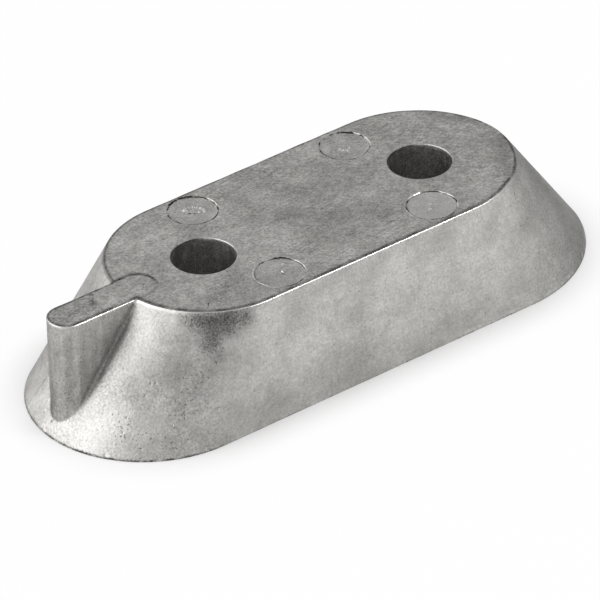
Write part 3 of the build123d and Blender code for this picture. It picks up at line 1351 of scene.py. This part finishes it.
@dataclass
class AnodeCasting:
    """The whole anode: one casting with its skin, top face, bores and marks."""

    node: str = "anode_casting"
    slot: str = "casting"
    height: float = 23.8
    sink: float = 0.06
    reach: Span = (60.38, 22.98)
    bore_places: Span = (-24.1, 25.9)
    flat_band: float = 0.02
    foot_band: float = 0.05
    smooth_angle: float = 40.0
    pit: Span = (0.32, 0.16)
    knock: Span = (0.45, 0.12)
    scratch_depth: float = 0.045
    crumb_share: float = 0.5
    swells: tuple[Unevenness, ...] = (Unevenness(0.016, 8.0, 1.0), Unevenness(0.008, 1.8, 2.0))
    edges: EdgeLengths = EdgeLengths()
    finish: CastZinc = CastZinc()

    def __post_init__(self) -> None:
        """Set out the skin, the bores and the marks."""
        self.level = self.height - self.sink
        self.skin = Skin(self.level)
        self.bores = [Bore(x, 0.0, self.level) for x in self.bore_places]
        self.witness = WitnessLine(-41.3, -39.1)
        back_left = (BurrArc(2.0, 22.0, 0.13), BurrArc(85.0, 46.0, -0.07, 0.26))
        back_right = (
            BurrArc(23.0, 11.0, 0.13),
            BurrArc(-13.0, 24.0, 0.1),
            BurrArc(52.0, 24.0, -0.07, 0.24),
        )
        front_left = (
            BurrArc(206.0, 30.0, 0.14),
            BurrArc(146.0, 28.0, 0.07),
            BurrArc(15.0, 16.0, 0.1),
            BurrArc(-10.0, 13.0, 0.12),
            BurrArc(55.0, 20.0, -0.07, 0.26),
        )
        front_right = (
            BurrArc(96.0, 24.0, 0.14),
            BurrArc(15.0, 26.0, 0.14),
            BurrArc(175.0, 20.0, 0.06),
            BurrArc(-35.0, 14.0, 0.06),
        )
        self.pins = [
            PinMark(-16.6, 13.5, self.level, seed=2.0, sheen=0.14, burrs=back_left),
            PinMark(18.4, 13.2, self.level, seed=4.0, sheen=0.0, burrs=back_right),
            PinMark(-16.6, -13.2, self.level, seed=6.0, burrs=front_left),
            PinMark(18.4, -13.2, self.level, seed=8.0, sheen=0.38, burrs=front_right),
        ]
        self.marks = [*self.wall_marks(), *self.top_marks()]
        self.stains = self.list_stains()

    def on_top(self, x: float, y: float) -> Place:
        """Give a place on the top face."""
        return (x, y, self.level)

    def wall_marks(self) -> list[Mark]:
        """List the pits, knocks and scratches of the walls and the foot.

        Returns:
            The marks.
        """
        pits = (
            (-45.65, -13.92, 12.44),
            (-51.39, -12.53, 6.79),
            (-52.85, -13.15, 4.47),
            (-47.66, -13.48, 10.47),
            (-51.75, -16.1, 2.72),
            (-46.29, -13.25, 12.37),
            (-45.7, -18.71, 5.83),
            (-43.58, -20.87, 3.64),
            (-58.92, 0.61, 2.17),
        )
        knocks = (
            (-60.16, 0.88, 0.58),
            (-56.39, -12.52, 0.65),
            (-55.79, -13.81, 0.2),
            (21.69, -22.96, 0.5),
            (34.86, -22.87, 1.06),
            (46.35, -20.57, 1.73),
        )
        marks = [Mark(MarkKind.PIT, place, *self.pit) for place in pits]
        marks += [Mark(MarkKind.DENT, place, *self.knock) for place in knocks]
        marks.append(Mark(MarkKind.SCRATCH, (-51.73, -16.36, 2.42), 0.18, 0.08, (-48.31, -19.28, 2.03)))
        return marks

    def top_marks(self) -> list[Mark]:
        """List the scratches of the top and the crumbs of torn metal in the pin marks.

        Returns:
            The marks.
        """
        crumbs = (
            (-17.52, 14.58, 0.56),
            (-17.0, 14.9, 0.4),
            (-16.4, 14.7, 0.42),
            (-15.71, 14.54, 0.5),
            (-15.2, 13.9, 0.4),
            (-14.79, 13.29, 0.48),
            (-14.6, 12.6, 0.4),
            (-14.87, 12.04, 0.44),
            (-15.8, 12.4, 0.38),
            (-16.1, -13.2, 0.4),
            (-14.3, -11.2, 0.4),
            (17.6, -13.9, 0.44),
            (18.7, -12.6, 0.4),
            (17.35, 12.9, 0.46),
            (17.6, 12.2, 0.46),
            (18.2, 11.8, 0.46),
            (18.9, 12.1, 0.4),
        )
        scratches = (
            ((-34.47, 13.03), (-25.6, 8.7), 0.19),
            ((-23.8, -8.64), (-30.2, -11.7), 0.19),
            ((-31.06, -11.29), (-33.09, -13.6), 0.19),
            ((-36.5, 1.5), (-40.2, -3.4), 0.19),
            ((-46.2, 3.3), (-40.8, 1.5), 0.17),
        )
        marks = []
        for x, y, size in crumbs:
            marks.append(Mark(MarkKind.CRUMB, self.on_top(x, y), size, self.crumb_share * size))
        for start, end, half_width in scratches:
            ends = (self.on_top(*start), self.on_top(*end))
            marks.append(Mark(MarkKind.SCRATCH, ends[0], half_width, self.scratch_depth, ends[1]))
        return marks

    def list_stains(self) -> list[Stain]:
        """List the soot and handling dirt, from the rib to the plain end, and some patches of painted shade
        and painted lighter tone.

        Returns:
            The stains.
        """
        top = self.on_top
        return [
            Stain((-37.2, -14.8, 22.3), (-29.4, -18.9, 22.3), 4.2, soil_and_shade=0.5, pores=0.5, film_and_shade=0.4),
            Stain((-34.6, -17.0, 22.6), (-32.6, -18.0, 22.6), 6.2, soil_and_shade=0.55, pores=0.6, film_and_shade=0.85),
            Stain((-34.4, -17.3, 21.0), (-35.9, -17.4, 18.2), 4.6, soil_and_shade=0.46, pores=0.6, film_and_shade=0.45),
            Stain((-34.8, -17.8, 19.1), (-44.0, -19.2, 7.0), 5.4, soil_and_shade=0.16, pores=0.6, film_and_shade=0.15),
            Stain((-53.0, -13.0, 5.0), (-46.0, -19.0, 3.0), 5.5, soil_and_shade=0.08, pores=0.55),
            # Painted light: a lighter patch low on the left end's front
            Stain((-56.0, -9.0, 4.0), (-49.0, -16.5, 4.5), 6.5, rubbed_and_highlight=0.3),
            # Painted shade on the left end's front slope
            Stain((-48.6, -12.0, 10.0), (-42.4, -14.6, 16.0), 7.0, film_and_shade=0.32),
            Stain((-58.0, 9.0, 2.5), (-53.0, 15.0, 3.5), 6.0, rubbed_and_highlight=0.5),
            # Painted shade high on the left end's back slope
            Stain((-42.0, 9.0, 20.0), (-46.0, 5.0, 17.0), 5.0, film_and_shade=0.3),
            Stain(top(-30.5, -12.0), top(-23.0, -9.5), 4.6, soil_and_shade=0.3, pores=0.6, film_and_shade=0.2),
            # Painted shade: a dark upright band on the rib's front near its tip, with pores low down
            Stain((-56.9, -3.0, 20.9), (-56.7, -3.1, 6.7), 1.9, soil_and_shade=0.12, film_and_shade=0.5),
            Stain((-57.2, -2.7, 10.5), (-57.0, -2.9, 7.5), 1.9, soil_and_shade=0.3, pores=0.5, film_and_shade=0.45),
            Stain(top(-57.0, 0.0), top(-50.0, 0.5), 4.2, soil_and_shade=0.22, pores=0.5, film_and_shade=0.15),
            Stain(top(-48.7, 0.4), top(-48.0, 1.4), 1.5, soil_and_shade=0.56),
            Stain(top(-47.6, 2.9), top(-47.2, 2.6), 1.1, soil_and_shade=0.56),
            # Painted shade: a dark line along the rib's back top edge
            Stain(top(-57.0, 3.2), top(-45.4, 3.3), 0.7, soil_and_shade=0.58),
            Stain(top(18.5, 13.4), top(18.6, 13.3), 0.6, soil_and_shade=0.75),
            Stain(top(18.3, -13.3), top(18.4, -13.4), 0.7, soil_and_shade=0.6),
            Stain(top(-16.5, -13.6), top(-16.3, -13.8), 0.6, soil_and_shade=0.6),
            Stain(top(-17.6, 13.2), top(-17.5, 13.1), 0.5, soil_and_shade=0.8),
            Stain(top(-16.9, 12.5), top(-16.8, 12.5), 0.45, soil_and_shade=0.8),
            Stain(top(-0.1, 17.6), top(1.7, 15.5), 0.7, soil_and_shade=0.5),
            Stain(top(1.8, 14.2), top(3.4, 14.6), 0.8, soil_and_shade=0.45),
            Stain(top(-6.8, 0.9), top(-4.5, 0.2), 1.0, soil_and_shade=0.42),
            Stain(top(-1.7, -5.5), top(0.2, -6.4), 0.9, soil_and_shade=0.42),
            Stain(top(0.4, -11.4), top(2.6, -12.2), 1.1, soil_and_shade=0.4),
            Stain(top(8.6, -9.9), top(9.6, -10.8), 0.7, soil_and_shade=0.5),
            Stain(top(-30.5, 15.0), top(-25.0, 15.5), 1.6, soil_and_shade=0.36),
            Stain(top(-4.0, 0.0), top(8.0, -9.0), 5.0, film_and_shade=0.2),
            Stain(top(-4.8, 0.2), top(-1.4, -5.3), 1.1, rubbed_and_highlight=0.2),
            Stain(top(1.0, -8.2), top(9.0, -10.0), 1.1, rubbed_and_highlight=0.2),
            Stain(top(4.0, 6.0), top(14.0, 3.0), 5.0, film_and_shade=0.18),
            Stain(top(36.0, -14.0), top(42.6, -4.0), 3.4, soil_and_shade=0.2, film_and_shade=0.3),
            Stain(top(38.0, 11.5), top(42.0, 5.0), 2.6, soil_and_shade=0.24, film_and_shade=0.3),
        ]

    def build(self) -> bpy.types.Object:
        """Model the casting.

        Returns:
            The finished piece.
        """
        rows = self.skin.rows()
        skin = Workbench.sheet(rows)
        top_rings = [Workbench.ring(rows[-1])]
        foot_rings = [Workbench.ring(rows[0])]
        for bore in self.bores:
            top_rings.append(bore.outer_ring(bore.opening(), self.level))
            foot_rings.append(bore.outer_ring(bore.opening(), 0.0))
        for pin in self.pins:
            top_rings.append(pin.outer_ring(pin.opening(), self.level))
        plates = [Workbench.cover(top_rings), Workbench.cover(foot_rings)]
        rounds = [feature.build() for feature in (*self.bores, *self.pins)]
        piece = Workbench.join([skin, *plates, *rounds])
        piece.name = "anode_casting_worn"
        piece.data.name = piece.name
        Workbench.weld(piece)
        Workbench.refine(piece, self.wanted_edge, self.edges.passes)
        self.carve(piece)
        Workbench.triangulate(piece)
        Workbench.take(piece)
        bpy.ops.object.shade_smooth_by_angle(angle=math.radians(self.smooth_angle))
        return piece

    def wanted_edge(self, points: np.ndarray) -> np.ndarray:
        """Give the longest edge that the detail at each point allows.

        Args:
            points: Middles of edges.

        Returns:
            Lengths.
        """
        edges = self.edges
        wanted = np.full(len(points), edges.anywhere)
        on_top = points[:, 2] > self.level - self.flat_band
        witness = edges.allow(self.witness.distance(points), *edges.witness)
        border = edges.allow(-self.skin.border_distance(points), *edges.border)
        wanted = np.where(on_top, np.minimum(wanted, np.minimum(witness, border)), wanted)
        for pin in self.pins:
            from_rim = np.abs(pin.away(points) - pin.radius)
            wanted = np.minimum(wanted, edges.allow(from_rim, *edges.pin_rim))
        small_stains = [stain for stain in self.stains if stain.half_width < edges.small_stain]
        for spot in (*self.marks, *small_stains):
            length = spot.half_width / edges.spot_parts
            allowed = edges.allow(spot.distance(points), length, edges.spot_hold * length)
            wanted = np.minimum(wanted, allowed)
        return np.where(points[:, 2] < self.foot_band, edges.underside, wanted)

    def carve(self, piece: bpy.types.Object) -> None:
        """Sculpt the wear, pits and pin marks, and paint what the surface carries.

        Args:
            piece: The welded and refined casting, which turns to metres here.
        """
        points = Workbench.read(piece)
        normals = np.empty(3 * len(points))
        piece.data.vertex_normals.foreach_get("vector", normals)
        in_bore = np.zeros(len(points), dtype=bool)
        for bore in self.bores:
            in_bore |= bore.away(points) < bore.opening() - 0.01
        WearPainter(self, points, in_bore).run().store(piece)

        loose = ~in_bore & (points[:, 2] > self.foot_band)
        on_top = loose & (points[:, 2] > self.level - self.flat_band)
        depth = np.zeros(len(points))
        for swell in self.swells:
            depth[loose] += swell.strength * (grain(points[loose], swell.feature, swell.seed) + 1.0)
        for mark in self.marks:
            depth += mark.sink(points)
        depth[on_top] += self.witness.depth * self.witness.strength(points[on_top])
        moved = points - normals.reshape(-1, 3) * depth[:, None]
        for pin in self.pins:
            near = on_top & (pin.away(points) < pin.opening())
            moved[near, 2] += pin.relief(points[near])
        highest = np.array([*self.reach, self.height])
        lowest = np.array([-self.reach[0], -self.reach[1], 0.0])
        Workbench.write(piece, np.clip(moved, lowest, highest) * MM)

    def dress(self, piece: bpy.types.Object) -> None:
        """Give the casting its finish and its place in the frame."""
        piece.data.materials.clear()
        piece.data.materials.append(self.finish.build())
        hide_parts(self.node)
        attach(piece, "root")


class LampSide(Enum):
    """Where a softbox stands."""

    LEFT = "left"
    FRONT = "front right"


@dataclass(frozen=True)
class Softbox:
    """A square soft light that faces the object."""

    side: LampSide
    towards: Place
    distance: float
    size: float
    radiance: float

    def build(self) -> bpy.types.Object:
        """Add the lamp.

        Returns:
            The lamp's object.
        """
        Workbench.clear()
        direction = Vector(self.towards).normalized()
        bpy.ops.object.light_add(type="AREA", location=direction * self.distance)
        lamp = bpy.context.object
        lamp.name = "softbox_" + self.side.value.replace(" ", "_")
        lamp.rotation_euler = direction.to_track_quat("Z", "Y").to_euler()
        lamp.data.shape = "SQUARE"
        lamp.data.size = self.size
        lamp.data.energy = self.radiance * math.pi * self.size**2
        return lamp


@dataclass
class Studio:
    """A pale floor, soft light and the camera at the photograph's viewing angle.

    The room is brightest on the left and dimmer to the right, in front and overhead.
    """

    floor_size: float = 6.0
    floor_colour: str = "F4F4F4"
    floor_seen: float = 0.97
    contact_reach: float = 8.0
    contact_span: Span = (0.5, 1.0)
    floor_mirrored: float = 0.12
    floor_gap: float = 0.02
    room_left: float = 1.45
    room_right: float = 0.45
    room_overhead: float = -0.46
    room_back: float = 0.35
    softboxes: tuple[Softbox, ...] = (
        Softbox(LampSide.LEFT, (-0.75, 0.35, 0.6), 0.9, 1.2, 0.65),
        Softbox(LampSide.FRONT, (0.49, -0.5, 0.7), 0.8, 0.3, 8.0),
    )
    azimuth: float = -36.13
    elevation: float = 33.82
    roll: float = 1.92
    distance: float = 1175.75
    aim: Place = (-0.495, 3.016, 2.409)
    lens: float = 379.15
    sensor: float = 36.0
    clip: Span = (0.05, 20.0)

    def build_floor(self) -> bpy.types.Object:
        """Lay the floor, white to the eye and in reflections, with the object's shadow kept.

        Returns:
            The floor's object.
        """
        Workbench.clear()
        place = (0.0, 0.0, -self.floor_gap * MM)
        bpy.ops.mesh.primitive_plane_add(size=self.floor_size, location=place)
        floor = bpy.context.object
        floor.name = "floor"
        material = bpy.data.materials.new("pale_studio_floor")
        material.use_nodes = True
        tree = material.node_tree
        tree.nodes.clear()
        paths = add_node(tree, "LightPath")
        either = (paths["Is Glossy Ray"], paths["Is Transmission Ray"])
        mirrored = add_node(tree, "Math", either, operation="MAXIMUM")[0]
        mirrored = add_node(tree, "Math", (mirrored, self.floor_mirrored), operation="MULTIPLY")[0]
        close_by = add_node(tree, "AmbientOcclusion", {"Distance": self.contact_reach * MM})["AO"]
        open_floor = add_node(tree, "MapRange", (close_by, *self.contact_span, 0.0, self.floor_seen))[0]
        sums = (paths["Is Camera Ray"], open_floor, mirrored)
        share = add_node(tree, "Math", sums, operation="MULTIPLY_ADD")[0]
        paper = add_node(tree, "BsdfDiffuse", {"Color": linear_colour(self.floor_colour)})[0]
        white = add_node(tree, "Emission", {"Strength": 1.0})[0]
        surface = add_node(tree, "MixShader", (share, paper, white))[0]
        add_node(tree, "OutputMaterial", {"Surface": surface})
        floor.data.materials.append(material)
        return floor

    def build_lights(self) -> list[bpy.types.Object]:
        """Set the softly graded room and the softboxes.

        Returns:
            The lamps' objects.
        """
        world = bpy.data.worlds.new("studio")
        bpy.context.scene.world = world
        world.use_nodes = True
        tree = world.node_tree
        tree.nodes.clear()
        direction = add_node(tree, "TexCoord")["Generated"]
        axes = add_node(tree, "SeparateXYZ", (direction,))
        strength = add_node(tree, "MapRange", (axes["X"], -1.0, 1.0, self.room_left, self.room_right))[0]
        for axis, slope in (("Y", self.room_back), ("Z", self.room_overhead)):
            factor = add_node(tree, "Math", (axes[axis], slope, 1.0), operation="MULTIPLY_ADD")[0]
            strength = add_node(tree, "Math", (strength, factor), operation="MULTIPLY")[0]
        backdrop = add_node(tree, "Background", {"Strength": strength})[0]
        add_node(tree, "OutputWorld", {"Surface": backdrop})
        return [softbox.build() for softbox in self.softboxes]

    def build_camera(self) -> bpy.types.Object:
        """Place the camera where the photograph was taken from.

        Returns:
            The camera's object.
        """
        turn, rise, tilt = (math.radians(angle) for angle in (self.azimuth, self.elevation, self.roll))
        back = Vector((math.sin(turn) * math.cos(rise), -math.cos(turn) * math.cos(rise), math.sin(rise)))
        level_right = Vector((0.0, 0.0, 1.0)).cross(back).normalized()
        level_up = back.cross(level_right)
        right = level_right * math.cos(tilt) - level_up * math.sin(tilt)
        up = level_up * math.cos(tilt) + level_right * math.sin(tilt)
        Workbench.clear()
        bpy.ops.object.camera_add()
        camera = bpy.context.object
        camera.name = "camera"
        camera.data.lens = self.lens
        camera.data.sensor_width = self.sensor
        camera.data.clip_start, camera.data.clip_end = self.clip
        turned = Matrix((right, up, back)).transposed().to_4x4()
        camera.matrix_world = Matrix.Translation((Vector(self.aim) + back * self.distance) * MM) @ turned
        bpy.context.scene.camera = camera
        bpy.context.scene.view_settings.view_transform = "Standard"
        return camera


def main() -> None:
    """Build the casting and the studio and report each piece."""
    logging.basicConfig(level=logging.INFO, format="%(name)s: %(message)s")
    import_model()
    casting = AnodeCasting()
    piece = casting.build()
    casting.dress(piece)
    triangles = sum(len(face.vertices) - 2 for face in piece.data.polygons)
    LOG.info("%s: %d points, %d triangles", piece.name, len(piece.data.vertices), triangles)
    studio = Studio()
    for made in (studio.build_floor(), *studio.build_lights(), studio.build_camera()):
        LOG.info("%s: placed", made.name)


if __name__ == "__main__":
    main()
